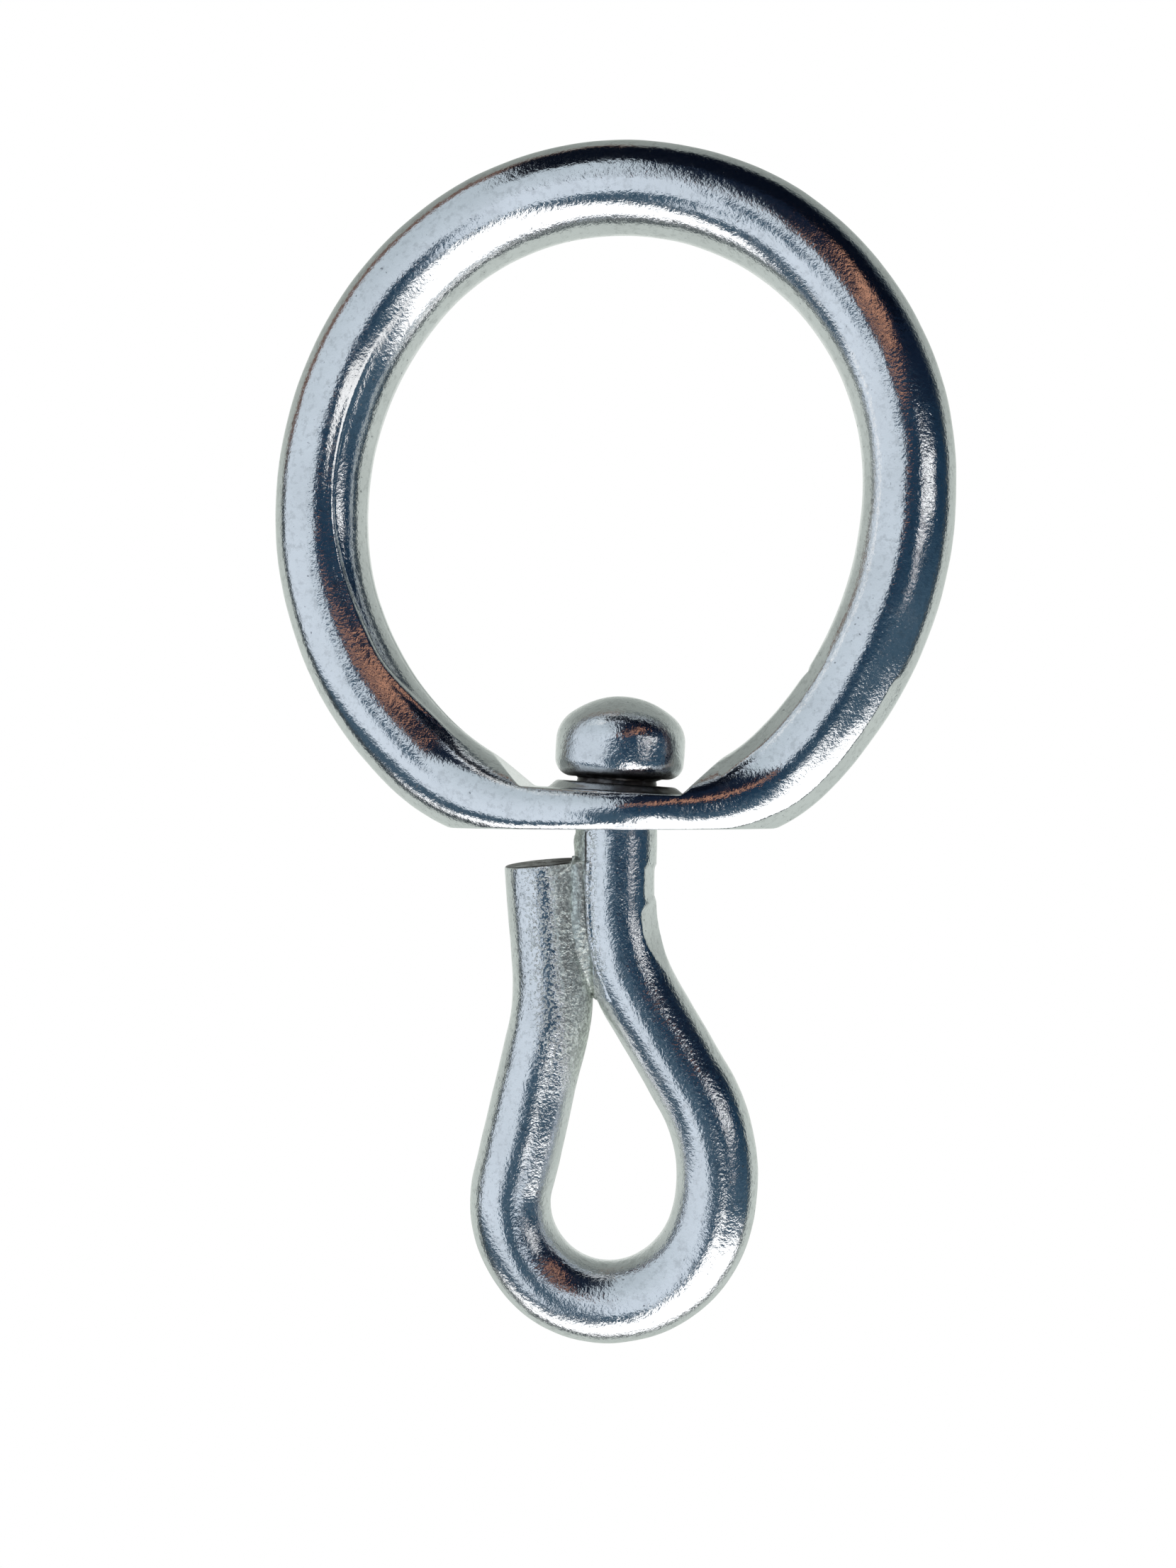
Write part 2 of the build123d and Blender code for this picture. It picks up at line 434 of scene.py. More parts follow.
def head_profile():
    """(radius, height above the seat) from the top of the dome to the shank."""
    inset = HEAD_RADIUS - HEAD_SHOULDER_RADIUS
    rise = HEAD_DOME_HEIGHT
    shoulder = HEAD_SHOULDER_RADIUS
    dome_radius = (inset**2 + rise**2 - shoulder**2) / (2 * (rise - shoulder))
    shoulder_turn = degrees(atan2(dome_radius - rise, inset))
    path = Path(0, HEAD_CORNER_RADIUS + HEAD_SIDE + rise, 0)
    path.arc(dome_radius, shoulder_turn - 90, 0.2)
    path.arc(shoulder, -shoulder_turn, 0.2)
    path.line(HEAD_SIDE, 0.25)
    path.arc(HEAD_CORNER_RADIUS, -90, 0.16)
    path.line(HEAD_RADIUS - HEAD_CORNER_RADIUS - ROD_RADIUS - NECK_RADIUS, 0.12)
    path.arc(NECK_RADIUS, 90, 0.1)
    return [(sample[0], sample[1]) for sample in path.samples[1:]]


def head_rows(across, deep):
    """The head's rings, from the top of the dome to the neck, leaning to the right."""
    middle = HEAD_CORNER_RADIUS + HEAD_SIDE / 2
    rows = []
    for radius, height in head_profile():
        belly = radius * (1 - HEAD_BARREL * ((height - middle) / 3) ** 2)
        share = smooth(-0.45, 0.0, height)
        lean = radians(HEAD_LEAN) * share
        x = HEAD_OFFSET * share + belly * across * cos(lean) + height * sin(lean)
        z = HEAD_SEAT_Z - belly * across * sin(lean) + height * cos(lean)
        rows.append(np.stack([x, belly * deep, z], axis=-1))
    rows = np.array(rows)
    dents = ripples(rows, HEAD_DENTS) - HEAD_INSET
    off_axis = rows - np.array([HEAD_OFFSET, 0, HEAD_SEAT_Z + middle])
    off_axis /= np.linalg.norm(off_axis, axis=-1, keepdims=True)
    share = smooth(HEAD_SEAT_Z + 0.2, HEAD_SEAT_Z + 1.4, rows[..., 2])
    return rows + (dents * share)[..., None] * off_axis


def tail_end(last, tube_end, forward, tail_x):
    """Rings from the last full ring of the tail over its cropped, slanting end."""
    fall = radians(TAIL_END_FALL)
    rise = radians(TAIL_END_RISE)
    normal = np.array([-sin(rise) * cos(fall), -sin(fall), cos(rise) * cos(fall)])
    on_cut = np.array([tail_x, 0, TAIL_TOP])
    reach = ((on_cut - tube_end) @ normal) / (forward @ normal)
    end_ring = tube_end + reach[:, None] * forward
    stop = end_ring - TAIL_RIM_RADIUS * forward
    rings = [last + (stop - last) * share for share in np.linspace(0, 1, 7)[1:]]
    for turn in np.radians(np.linspace(0, 90, 7)[1:]):
        level = end_ring - TAIL_RIM_RADIUS * forward * (1 - sin(turn))
        middle = level.mean(axis=0)
        shrink = 1 - TAIL_RIM_RADIUS / ROD_RADIUS * (1 - cos(turn))
        rings.append(middle + (level - middle) * shrink)
    flat = rings[-1]
    middle = flat.mean(axis=0)
    for share in np.linspace(1, 0.04, 12)[1:]:
        ring = middle + (flat - middle) * share
        rings.append(ring + ripples(ring, CROPPED_GRAIN)[:, None] * normal)
    return np.array(rings)


def rod_radius(across, deep, height, on_shank):
    """The radius at each point of the rod, less two marks on the shank's right side.

    They are a nick, and below it a bruise where the shank starts to bend.
    """
    right = smooth(0.72, 0.9, across)[None, :] * on_shank
    nick = band(-64.7, -64.4, -61.6, -61.4, height)
    radius = ROD_RADIUS - NICK_DEPTH * right * nick
    bruise = band(-73.5, -68.0, -66.0, -64.7, height)
    lean = across * cos(radians(BRUISE_ANGLE)) - deep * sin(radians(BRUISE_ANGLE))
    limit = ROD_RADIUS - BRUISE_DEPTH * bruise * on_shank
    bruised = limit / np.maximum(lean, 0.4)[None, :]
    return np.where(on_shank & (lean > 0.4), np.minimum(radius, bruised), radius)


def rod_waves(tube, across, height, on_shank):
    """How far each point stands off the plain rod."""
    # long waves that the bending left, except where the weld covers the rod
    at_weld = band(-9, -7, -1, 1, tube[..., 0]) * band(-77, -73, -60, -59, tube[..., 2])
    waves = ripples(tube, ROD_WAVES) * (1 - at_weld)
    # weld metal that ran up the shank's left side
    run_up = smooth(-0.62, -0.70, across)[None, :] * band(-62.5, -61.0, -58.7, -58.2, height)
    return waves + on_shank * run_up * (0.14 + 0.16 * ripple(tube, 1.8, 24))


def eye_rod_mesh():
    """The rod's skin, from the top of the head round the eye to the end of the tail."""
    turn = np.linspace(0, 2 * pi, ROD_AROUND, endpoint=False)
    across = np.cos(turn)
    deep = -np.sin(turn)

    path = Path(0, HEAD_SEAT_Z - NECK_LENGTH, -90)
    path.line(path.z - SHANK_END_Z, ROD_STEP)
    path.follow(EYE_RUN, ROD_STEP)
    half_way = len(path.samples)
    path.follow(TAIL_RUN, ROD_STEP)
    x, z, heading = np.array(path.samples).T
    angle = np.radians(heading)
    forward = in_plane(np.cos(angle), np.sin(angle))
    # the direction that starts as +X on the shank
    side = in_plane(-np.sin(angle), np.cos(angle))
    centre = in_plane(x, z)
    in_eye = np.arange(len(x)) < half_way

    off_line = across[None, :, None] * side[:, None] + deep[None, :, None] * DEEP
    tube = centre[:, None] + ROD_RADIUS * off_line
    on_shank = in_eye[:, None]
    height = z[:, None]
    radius = rod_radius(across, deep, height, on_shank)
    waves = rod_waves(tube, across, height, on_shank)
    body = centre[:, None] + (radius + waves - ROD_INSET)[..., None] * off_line

    kept = np.nonzero(in_eye | (TAIL_TOP - z > TAIL_END_LENGTH))[0][-1] + 1
    end = tail_end(body[kept - 1], body[-1], forward[-1], path.x)
    rows = np.concatenate([head_rows(across, deep), body[:kept], end])
    return grid_mesh("eye_rod_skin", inside_box(rows, "eye_rod"), closed_rows=False, caps=True)


# ---------------------------------------------------------------- weld

WELD_ROWS = 100
WELD_ACROSS = 64
WELD_STEP = 0.5
WELD_FILL = 4.6
WELD_BEADS = [(0.05, 1.4, 31), (0.03, 0.6, 32)]


def rod_line(on_tail):
    """Height, x and steepness (1 is upright) of the shank or the tail, from low to high."""
    path = Path(0, HEAD_SEAT_Z, -90)
    path.line(HEAD_SEAT_Z - SHANK_END_Z, WELD_STEP)
    start = 0
    if on_tail:
        path.follow(EYE_RUN, WELD_STEP)
        start = len(path.samples)
        path.follow(TAIL_RUN, WELD_STEP)
    else:
        path.follow(EYE_RUN[:2], WELD_STEP)
    x, z, heading = np.array(path.samples[start:]).T
    order = np.argsort(z)
    steepness = np.abs(np.sin(np.radians(heading)))
    return z[order], x[order], steepness[order]


def rod_depth(x, middle, half_width):
    """Half the rod's thickness in a level cut, at each x."""
    return ROD_RADIUS * np.sqrt(np.clip(1 - ((x - middle) / half_width) ** 2, 0, 1))


def weld_mesh():
    """The weld metal in the valley between tail and shank, which runs out below."""
    shank_z, shank_x, shank_steepness = rod_line(on_tail=False)
    tail_z, tail_x, tail_steepness = rod_line(on_tail=True)
    step = np.arange(WELD_ACROSS)
    inner = smooth(0, 14, step) * smooth(0, 8, step[::-1])
    rows = []
    for height in np.linspace(WELD_TOP, WELD_BOTTOM, WELD_ROWS):
        tail_middle = np.interp(height, tail_z, tail_x)
        tail_half = ROD_RADIUS / np.interp(height, tail_z, tail_steepness)
        shank_middle = np.interp(height, shank_z, shank_x)
        shank_half = ROD_RADIUS / np.interp(height, shank_z, shank_steepness)
        start = tail_middle + (0.15 + 0.6 * smooth(-63.0, -60.8, height)) * tail_half
        x = np.linspace(start, shank_middle - 0.5 * shank_half, WELD_ACROSS)
        tail_depth = rod_depth(x, tail_middle, tail_half)
        shank_depth = rod_depth(x, shank_middle, shank_half)
        fill = band(WELD_BOTTOM - 0.6, WELD_BOTTOM + 9, WELD_TOP - 0.7, WELD_TOP + 0.05, height)
        depth = soft_max(tail_depth, shank_depth, 0.5 + WELD_FILL * fill)
        # the side edges dip into the rods, and the rest stands just clear of them
        depth += 0.03 - 0.20 * (1 - inner)
        front = np.stack([x, -depth, np.full(WELD_ACROSS, height)], axis=-1)
        front[:, 1] -= ripples(front, WELD_BEADS) * inner
        back = front[::-1] * np.array([1, -1, 1])
        rows.append(np.concatenate([front, back]))
    return grid_mesh("weld_bead_skin", np.array(rows), closed_rows=False, caps=True)


# ---------------------------------------------------------------- node trees


def is_socket(value):
    return isinstance(value, bpy.types.NodeSocket)


class Nodes:
    """Short calls for building a node tree. A value is a plain value or a socket."""

    def __init__(self, tree):
        self.tree = tree
        tree.nodes.clear()

    def feed(self, socket, value):
        if is_socket(value):
            self.tree.links.new(value, socket)
        else:
            socket.default_value = value

    def add(self, kind, **inputs):
        """A node whose inputs are fed by name, with _ for a space."""
        made = self.tree.nodes.new(kind)
        for name, value in inputs.items():
            self.feed(made.inputs[name.replace("_", " ")], value)
        return made

    def math(self, operation, *values):
        made = self.add("ShaderNodeMath")
        made.operation = operation
        for slot, value in enumerate(values):
            self.feed(made.inputs[slot], value)
        return made.outputs[0]

    def plus(self, first, second):
        return self.math("ADD", first, second)

    def minus(self, first, second):
        return self.math("SUBTRACT", first, second)

    def times(self, first, *others):
        for other in others:
            first = self.math("MULTIPLY", first, other)
        return first

    def slope(self, value, factor, start):
        """value times factor, plus start."""
        return self.math("MULTIPLY_ADD", value, factor, start)

    def fade(self, value, low, high, to_low=0.0, to_high=1.0):
        """to_low where value is below low, to_high above high, and an S curve between."""
        made = self.add("ShaderNodeMapRange", Value=value, From_Min=low, From_Max=high)
        made.interpolation_type = "SMOOTHSTEP"
        self.feed(made.inputs["To Min"], to_low)
        self.feed(made.inputs["To Max"], to_high)
        return made.outputs["Result"]

    def band(self, value, rise_from, rise_to, fall_from, fall_to):
        """1 from rise_to to fall_from, and 0 outside the band."""
        rise = self.fade(value, rise_from, rise_to)
        return self.times(rise, self.fade(value, fall_from, fall_to, 1.0, 0.0))

    def mix(self, share, first, second):
        """The colour first, which turns into second as share goes from 0 to 1."""
        made = self.add("ShaderNodeMix")
        made.data_type = "RGBA"
        share_slot, first_slot, second_slot, result_slot = 0, 6, 7, 2
        self.feed(made.inputs[share_slot], share)
        for slot, colour in ((first_slot, first), (second_slot, second)):
            self.feed(made.inputs[slot], colour if is_socket(colour) else (*colour, 1))
        return made.outputs[result_slot]

    def noise(self, where, size_mm, detail=2.0, roughness=0.5):
        """Noise whose features are about size_mm across."""
        scale = 1 / (size_mm * MM)
        made = self.add("ShaderNodeTexNoise", Vector=where, Scale=scale, Detail=detail)
        self.feed(made.inputs["Roughness"], roughness)
        return made.outputs[0]

    def bump(self, height, depth_mm, under=None):
        """A normal that follows height, over the normal under if there is one."""
        made = self.add("ShaderNodeBump", Strength=1.0, Distance=depth_mm * MM, Height=height)
        if under is not None:
            self.feed(made.inputs["Normal"], under)
        return made.outputs["Normal"]

    def glow(self, kind, colour):
        """An even light of one colour, by a node of the kind."""
        return self.add(kind, Color=colour if is_socket(colour) else (*colour, 1)).outputs[0]


def new_material(name):
    material = bpy.data.materials.new(name)
    material.use_nodes = True
    return material, Nodes(material.node_tree)


# ---------------------------------------------------------------- materials

CHROME = (0.80, 0.815, 0.83)
DULL_STEEL = (0.70, 0.74, 0.69)
SPECK = (0.12, 0.13, 0.15)
# near black, for painted shade under the head and in the weld's crease, and for the tail's bare cut
# end
SHADE_AND_BARE_STEEL = (0.07, 0.06, 0.055)
CREASE_X = -2.65
CREASE_BEND = 0.0227
WELD_LEFT_X = -10.6
WELD_LEFT_SLOPE = -0.0756
WELD_RIGHT_X = -1.9


def position(nodes):
    """The place on the piece: the vector in metres, then its three parts in millimetres."""
    where = nodes.add("ShaderNodeTexCoord").outputs["Object"]
    parts = nodes.add("ShaderNodeSeparateXYZ", Vector=where).outputs
    return where, *(nodes.times(part, 1 / MM) for part in parts)


def shank_crease(nodes, z):
    """x of the crease between the weld and the shank, at a height."""
    below = nodes.math("MAXIMUM", nodes.minus(SHANK_END_Z, z), 0.0)
    return nodes.slope(nodes.times(below, below), CREASE_BEND, CREASE_X)


# The functions from here to rod_shade_and_bare_end each give a value from 0 to 1 by the place on a
# piece, as nodes. x, y and z are sockets, in millimetres.


def beside_weld(nodes, x, y, z):
    """1 over the weld, where the plating is dull, and peppered on the rods beside it."""
    where = position(nodes)[0]
    ragged = nodes.noise(where, 0.45, detail=3, roughness=0.7)
    shift = nodes.times(nodes.minus(ragged, 0.5), 3.0)
    left = nodes.plus(nodes.slope(z, WELD_LEFT_SLOPE, WELD_LEFT_X), shift)
    right = nodes.math("MINIMUM", shank_crease(nodes, z), WELD_RIGHT_X)
    past_left = nodes.minus(x, left)
    past_right = nodes.minus(x, right)
    over = nodes.times(nodes.fade(past_left, -0.5, 0.5), nodes.fade(past_right, -0.1, 0.1, 1.0, 0.0))
    near = nodes.times(nodes.fade(past_left, -3.4, -0.8), nodes.fade(past_right, 0.0, 1.6, 1.0, 0.0))
    spots = nodes.fade(nodes.noise(where, 0.30, detail=2, roughness=0.6), 0.52, 0.60)
    dull = nodes.math("MAXIMUM", over, nodes.times(spots, near, 0.75))
    return nodes.times(dull, nodes.band(z, -86, -77, -57.5, -57.2))


def shade_under_head(nodes, x, y, z, low, high):
    """1 between two heights under the head, in the gap where painted shade darkens the metal."""
    away = nodes.math("SQRT", nodes.plus(nodes.times(x, x), nodes.times(y, y)))
    level = nodes.slope(x, sin(radians(FLOOR_SLANT)), z)
    gap = nodes.band(level, low - 0.25, low + 0.1, high - 0.35, high + 0.35)
    return nodes.times(gap, nodes.fade(away, 6.9, 7.3, 1.0, 0.0))


def ring_painted_shade(nodes, x, y, z):
    """Painted shade round the boss under the head, more on the right."""
    gap_shade = shade_under_head(nodes, x, y, z, FLOOR_Z + 0.15, HEAD_SEAT_Z)
    return nodes.times(gap_shade, nodes.fade(x, -3, 4, 0.35, 0.95))


def cut_face(nodes, x, y, z):
    """1 on the cropped end of the tail, which was never plated."""
    fall, rise = radians(TAIL_END_FALL), radians(TAIL_END_RISE)
    above = nodes.slope(x, -sin(rise), nodes.times(z, cos(rise)))
    above = nodes.slope(y, -sin(fall), above)
    level = cos(rise) * TAIL_TOP - sin(rise) * TAIL_X
    on_face = nodes.fade(nodes.minus(above, level), -0.22, -0.12)
    on_tail = nodes.fade(x, -4.4, -4.0, 1.0, 0.0)
    return nodes.times(on_face, on_tail, nodes.band(z, -63, -62, -59, -58))


def crease_painted_shade(nodes, x, y, z):
    """A thin dark line of painted shade in the crease where the weld meets the shank, fainter lower
    down.
    """
    off = nodes.math("ABSOLUTE", nodes.minus(x, shank_crease(nodes, z)))
    line = nodes.fade(off, 0.04, 0.15, 1.0, 0.0)
    line = nodes.times(line, nodes.fade(z, -62.5, -60.5, 0.25, 0.9))
    return nodes.times(line, nodes.band(z, -73.5, -72.5, -58.2, -57.8))


def rod_shade_and_bare_end(nodes, x, y, z):
    """Painted shade under the head and in the weld's crease, and the bare end of the tail."""
    gap_shade = shade_under_head(nodes, x, y, z, FLOOR_Z, HEAD_SEAT_Z + 0.5)
    dark = nodes.math("MAXIMUM", cut_face(nodes, x, y, z), crease_painted_shade(nodes, x, y, z))
    return nodes.math("MAXIMUM", gap_shade, dark)


def dimmed(colour, factor):
    return tuple(factor * part for part in colour)


def plated_steel(name, gloss, peel, grain, worn=None, shade_and_bare_end=None):
    """Bright plating over forged steel.

    gloss is the least roughness; peel and grain are how deep, in millimetres, the
    orange peel and the fine grain are. The last two arguments are functions of the node
    tree that say where the metal is dull and grainy, and where it is darkened by painted
    shade in the gap under the head and the weld's crease, and on the tail's bare end.
    """
    material, nodes = new_material(name)
    where, x, y, z = position(nodes)
    cloud = nodes.noise(where, 6.0, detail=3)
    fine = nodes.noise(where, 0.32, detail=2, roughness=0.6)
    mottle = nodes.noise(where, 0.7, detail=4, roughness=0.7)
    specks = nodes.fade(nodes.noise(where, 0.55, detail=1), 0.74, 0.79)
    scuffs = nodes.fade(nodes.noise(where, 3.0, detail=4, roughness=0.7), 0.56, 0.72)
    colour = nodes.mix(nodes.fade(cloud, 0.35, 0.7), CHROME, dimmed(CHROME, 0.93))
    colour = nodes.mix(nodes.fade(mottle, 0.48, 0.68), colour, dimmed(CHROME, 0.80))
    colour = nodes.mix(nodes.times(specks, 0.6), colour, SPECK)
    rough = nodes.fade(fine, 0.3, 0.75, gloss, gloss + 0.07)
    rough = nodes.plus(rough, nodes.times(scuffs, 0.07))
    rough = nodes.plus(rough, nodes.times(specks, 0.2))
    normal = nodes.bump(nodes.noise(where, 1.3, detail=1), peel)
    normal = nodes.bump(fine, grain, under=normal)
    if worn:
        grainy = worn(nodes, x, y, z)
        rough = nodes.plus(rough, nodes.times(grainy, 0.25))
        pits = nodes.fade(nodes.noise(where, 0.38, detail=3, roughness=0.7), 0.40, 0.62)
        pitted = nodes.mix(pits, dimmed(DULL_STEEL, 0.58), dimmed(DULL_STEEL, 1.22))
        colour = nodes.mix(nodes.times(grainy, 0.9), colour, pitted)
        deep_grain = nodes.times(nodes.noise(where, 0.5, detail=3, roughness=0.65), grainy)
        normal = nodes.bump(deep_grain, 0.20, under=normal)
    # painted shade in the gap under the head and in the weld's crease, and the tail's dark bare end
    if shade_and_bare_end:
        patch = nodes.fade(nodes.noise(where, 1.3, detail=3), 0.3, 0.6, 0.75, 1.0)
        dark = nodes.times(shade_and_bare_end(nodes, x, y, z), patch)
        rough = nodes.plus(rough, nodes.times(dark, 0.3))
        colour = nodes.mix(dark, colour, SHADE_AND_BARE_STEEL)
    shader = nodes.add(
        "ShaderNodeBsdfPrincipled", Base_Color=colour, Roughness=rough, Metallic=1.0, Normal=normal
    )
    nodes.add("ShaderNodeOutputMaterial", Surface=shader.outputs[0])
    return material


# ---------------------------------------------------------------- studio

CAMERA_PLACE = (0.01712, -0.1889, -0.05345)
CAMERA_YAW = 6.0  # degrees that the camera is turned to its left
CAMERA_LENS = 44.76
LEVEL_VIEW = 90
WHITE = (1.0, 1.0, 1.0)
SOFTBOX = (0.76, 0.84, 0.93)
SOFTBOX_TOP = (0.56, 0.64, 0.70)
FLAG_LOW = (0.055, 0.105, 0.155)
FLAG_MIDDLE = (0.015, 0.045, 0.085)
FLAG_TOP = (0.006, 0.013, 0.03)
CEILING = (0.35, 0.38, 0.36)
CAMERA_DARK = (0.11, 0.17, 0.23)
COPPER = (0.66, 0.33, 0.21)
FLOOR_GLOW = (1.6, 1.6, 1.6)
GAP_NAVY = (0.06, 0.105, 0.15)
ROOM = (0.62, 0.67, 0.63)
ROOM_TOP = (0.30, 0.33, 0.31)
ROOM_PATCH = (0.80, 0.84, 0.80)
RIM_DARK = (0.05, 0.065, 0.075)
RIM_WARM = (0.17, 0.10, 0.08)
CARD_BLACK = (0.002, 0.004, 0.010)
CARD_PALE = (0.74, 0.82, 0.91)
CARD_WHITE = (1.1, 1.1, 1.1)
FLOOR_RADIUS = 0.8
FLOOR_DROP = 0.5
UPRIGHT = 90


class Sky:
    """The world's light by direction, painted one patch over the other.

    Azimuth 0 is the way back to the camera, positive to its right; all angles are in
    degrees. behind is the angle from the way back to the camera.
    """

    def __init__(self, nodes):
        self.nodes = nodes
        ray = nodes.add("ShaderNodeTexCoord").outputs["Generated"]
        x, y, z = nodes.add("ShaderNodeSeparateXYZ", Vector=ray).outputs
        yaw_cos, yaw_sin = cos(radians(CAMERA_YAW)), sin(radians(CAMERA_YAW))
        to_right = nodes.plus(nodes.times(x, yaw_cos), nodes.times(y, yaw_sin))
        to_camera = nodes.minus(nodes.times(x, yaw_sin), nodes.times(y, yaw_cos))
        self.azimuth = nodes.times(nodes.math("ARCTAN2", to_right, to_camera), 180 / pi)
        self.elevation = nodes.times(nodes.math("ARCSINE", z), 180 / pi)
        self.behind = nodes.times(nodes.math("ARCCOSINE", to_camera), 180 / pi)

    def by_azimuth(self, *fade):
        return self.nodes.fade(self.azimuth, *fade)

    def by_height(self, *fade):
        return self.nodes.fade(self.elevation, *fade)

    def panel(self, under, colour, az, el, half_az, half_el, tilt=0.0, soft=3.0, strength=1.0):
        """A soft-edged rectangle of light or dark over what is under it."""
        nodes = self.nodes
        tilt_cos, tilt_sin = cos(radians(tilt)), sin(radians(tilt))
        along_az = nodes.minus(self.azimuth, az)
        along_el = nodes.minus(self.elevation, el)
        along = nodes.plus(nodes.times(along_az, tilt_cos), nodes.times(along_el, tilt_sin))
        across = nodes.minus(nodes.times(along_el, tilt_cos), nodes.times(along_az, tilt_sin))
        along, across = nodes.math("ABSOLUTE", along), nodes.math("ABSOLUTE", across)
        wide = nodes.fade(along, half_az - soft, half_az + soft, strength, 0.0)
        high = nodes.fade(across, half_el - soft, half_el + soft, 1.0, 0.0)
        return nodes.mix(nodes.times(wide, high), under, colour)


def softbox_and_flags(sky):
    """A big pale softbox on the left, dark flags on the right, and strip lights."""
    nodes = sky.nodes
    # the softbox, dimmer towards its top
    light = nodes.mix(sky.by_height(-20, 60), SOFTBOX, SOFTBOX_TOP)
    # flags on the right, darker towards their top, which reach further left low down
    flags = nodes.mix(sky.by_height(-16, 6), FLAG_LOW, FLAG_MIDDLE)
    flags = nodes.mix(sky.by_height(5, 30), flags, FLAG_TOP)
    high_edge = nodes.slope(sky.elevation, -1.4, 60.0)
    edge = nodes.math("MINIMUM", high_edge, sky.by_height(-1, 7, -26.0, -7.0))
    light = nodes.mix(nodes.fade(nodes.minus(sky.azimuth, edge), -2, 2), light, flags)
    light = nodes.mix(sky.by_height(66, 76), light, CEILING)
    # the camera's own dark patch
    light = sky.panel(light, CAMERA_DARK, -18, -5, 12, 4, tilt=12, strength=0.5)
    # two warm strips, which turn into plain flag low down, and three strip lights
    warm = nodes.mix(sky.by_height(12, 16), flags, COPPER)
    light = sky.panel(light, warm, 6, 17.6, 12, 2.2, tilt=31, soft=0.8)
    light = sky.panel(light, warm, 32, 33.0, 17, 3.4, tilt=31, soft=1.1)
    light = sky.panel(light, (1.7, 1.7, 1.7), 49, 8.0, 15, 2.6, soft=1.5)
    light = sky.panel(light, (1.3, 1.25, 1.25), 42, -1.8, 6, 1.6, soft=0.8)
    return sky.panel(light, (0.9, 0.95, 0.95), 65, 57, 1.4, 7, soft=1)


def white_floor(sky, light):
    """The bright floor under the light, with a dark gap along the floor's edge."""
    nodes = sky.nodes
    left_edge = nodes.slope(sky.azimuth, -0.38, -62.0)
    middle_edge = nodes.slope(sky.azimuth, 0.16, -42.8)
    right_edge = nodes.slope(sky.azimuth, 4.0, -42.0)
    edge = nodes.math("MAXIMUM", nodes.math("MAXIMUM", left_edge, middle_edge), right_edge)
    edge = nodes.math("MINIMUM", edge, sky.by_azimuth(8, 40, -12.5, -28.0))
    above_floor = nodes.minus(sky.elevation, edge)
    light = nodes.mix(nodes.fade(above_floor, -2.5, 2.5), FLOOR_GLOW, light)
    half_gap = sky.by_azimuth(-55, -25, 13.0, 6.0)
    gap = nodes.math("DIVIDE", nodes.math("ABSOLUTE", above_floor), half_gap)
    gap = nodes.times(nodes.fade(gap, 0.7, 1.2, 1.0, 0.0), sky.by_azimuth(0, 22, 1.0, 0.0))
    return nodes.mix(gap, light, GAP_NAVY)


def room_behind(sky, light):
    """The pale room behind the object, greyer above, past a thin dark edge."""
    nodes = sky.nodes
    room = nodes.mix(sky.by_height(-10, 55), ROOM, ROOM_TOP)
    for straight_behind in (180, -180):
        room = sky.panel(room, ROOM_PATCH, straight_behind, 3, 26, 14, soft=10)
    light = nodes.mix(nodes.fade(sky.behind, 101, 106), light, room)
    off_rim = nodes.math("ABSOLUTE", nodes.minus(sky.behind, 102.0))
    off_rim = nodes.math("DIVIDE", off_rim, sky.by_azimuth(-20, 20, 1.5, 1.0))
    upper_left = nodes.times(sky.by_height(8, 25), sky.by_azimuth(-60, -30, 1.0, 0.0))
    rim_colour = nodes.mix(upper_left, RIM_DARK, RIM_WARM)
    return nodes.mix(nodes.fade(off_rim, 3, 7, 1.0, 0.0), light, rim_colour)


def studio_light():
    """The world: a soft studio for light and reflections, plain white for the camera."""
    world = bpy.data.worlds.new("studio")
    bpy.context.scene.world = world
    world.use_nodes = True
    nodes = Nodes(world.node_tree)
    sky = Sky(nodes)
    light = room_behind(sky, white_floor(sky, softbox_and_flags(sky)))
    by_camera = nodes.add("ShaderNodeLightPath").outputs["Is Camera Ray"]
    shining = nodes.glow("ShaderNodeBackground", light)
    plain = nodes.glow("ShaderNodeBackground", WHITE)
    either = nodes.add("ShaderNodeMixShader")
    for socket, value in zip(either.inputs, (by_camera, shining, plain)):
        nodes.feed(socket, value)
    nodes.add("ShaderNodeOutputWorld", Surface=either.outputs[0])


def glowing(name, colour):
    """A material that shines evenly in one colour."""
    material, nodes = new_material(name)
    nodes.add("ShaderNodeOutputMaterial", Surface=nodes.glow("ShaderNodeEmission", colour))
    return material


def card(name, colour, wide, deep, place, lean=0.0):
    """A flat card close to the part, which is seen only in its reflections.

    It lies level, or is tipped up by lean, in degrees. Its sizes are metres.
    """
    work = bmesh.new()
    bmesh.ops.create_grid(work, x_segments=1, y_segments=1, size=0.5)
    bmesh.ops.scale(work, verts=work.verts, vec=(wide, deep, 1))
    made = new_object(name, mesh_from(work, name))
    made.location = place
    made.rotation_euler = (radians(lean), 0, 0)
    made.data.materials.append(glowing(name, colour))
    made.visible_camera = False
    made.visible_diffuse = False
    made.visible_shadow = False


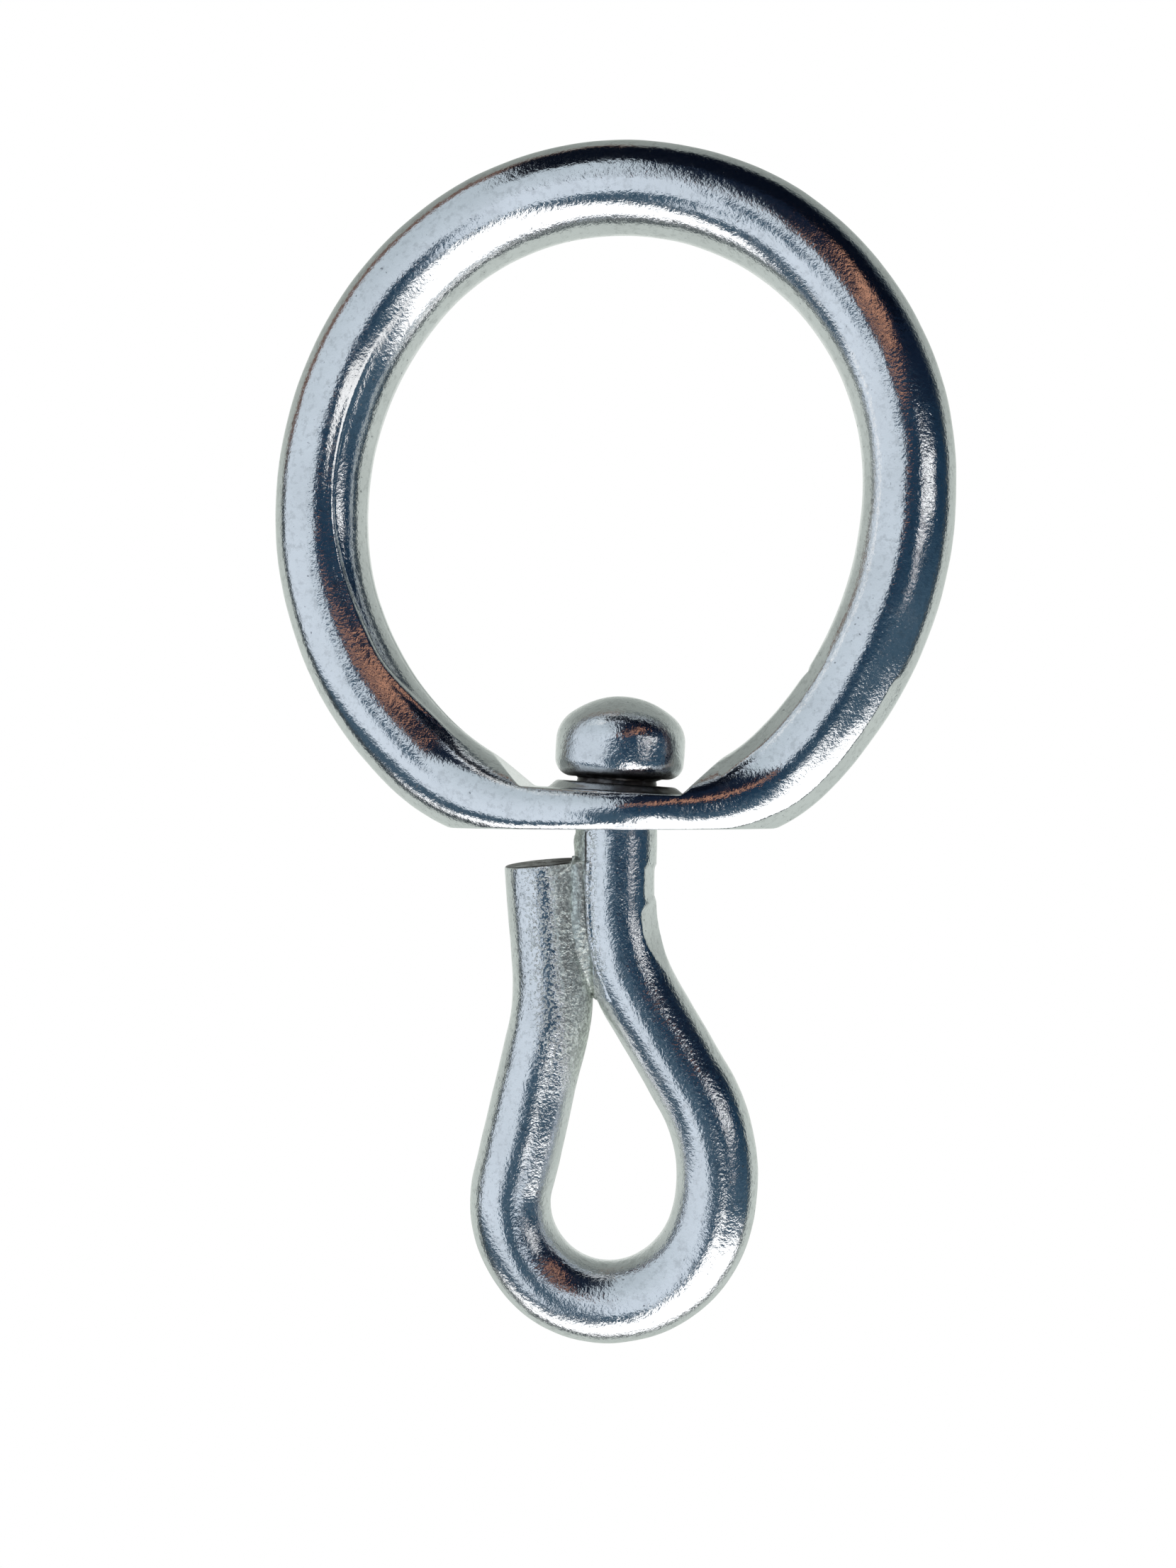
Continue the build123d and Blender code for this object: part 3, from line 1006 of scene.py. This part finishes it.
def pale_floor():
    """A plain white floor well below the hanging part."""
    work = bmesh.new()
    bmesh.ops.create_circle(work, cap_ends=True, segments=96, radius=FLOOR_RADIUS)
    bmesh.ops.translate(work, verts=work.verts, vec=(0, 0, cad_low.z - FLOOR_DROP))
    floor = new_object("floor", mesh_from(work, "floor"))
    floor.data.materials.append(glowing("floor_white", WHITE))
    floor.visible_glossy = False


def camera():
    data = bpy.data.cameras.new("camera")
    data.sensor_width = 36
    data.sensor_fit = "AUTO"
    data.lens = CAMERA_LENS
    data.clip_start = 0.01
    made = new_object("camera", data)
    made.location = CAMERA_PLACE
    made.rotation_euler = (radians(LEVEL_VIEW), 0, radians(CAMERA_YAW))
    bpy.context.scene.camera = made


# ---------------------------------------------------------------- the scene

camera()
studio_light()
bpy.context.scene.view_settings.view_transform = "Standard"
pale_floor()
# Near light that the far studio can't give: a black card above and in front of the
# crown, pale ones before the crown and the eye's bottom, and a white one by the left leg.
card("top_flag", CARD_BLACK, 0.21, 0.092, (0.060, -0.026, 0.095))
card("front_fill", CARD_PALE, 0.022, 0.0145, (-0.004, -0.0245, 0.00075), lean=UPRIGHT)
card("left_strip", CARD_WHITE, 0.0145, 0.010, (-0.0165, -0.0145, -0.018), lean=UPRIGHT)
card("low_fill", CARD_PALE, 0.012, 0.015, (0.001, -0.024, -0.1065), lean=UPRIGHT)

EYE_FINISH = {"gloss": 0.12, "peel": 0.03, "grain": 0.045, "worn": beside_weld}
# The last argument of each finish adds painted shade under the head and in the weld's crease, and
# darkens the tail's bare end.
ring_metal = plated_steel("ring_plating", gloss=0.10, peel=0.022, grain=0.028, shade_and_bare_end=ring_painted_shade)
eye_metal = plated_steel("eye_plating", shade_and_bare_end=rod_shade_and_bare_end, **EYE_FINISH)
weld_metal = plated_steel("weld_plating", shade_and_bare_end=crease_painted_shade, **EYE_FINISH)

ring = pierce(ring_mesh())
rod = eye_rod_mesh()
weld = weld_mesh()
piece("swivel_ring_body", ring, ring_metal, "ring", "swivel_ring", sharp_angle=38)
piece("eye_rod_body", rod, eye_metal, "eye", "eye_rod", sharp_angle=50)
piece("weld_bead_body", weld, weld_metal, "eye", "weld_bead", sharp_angle=60)
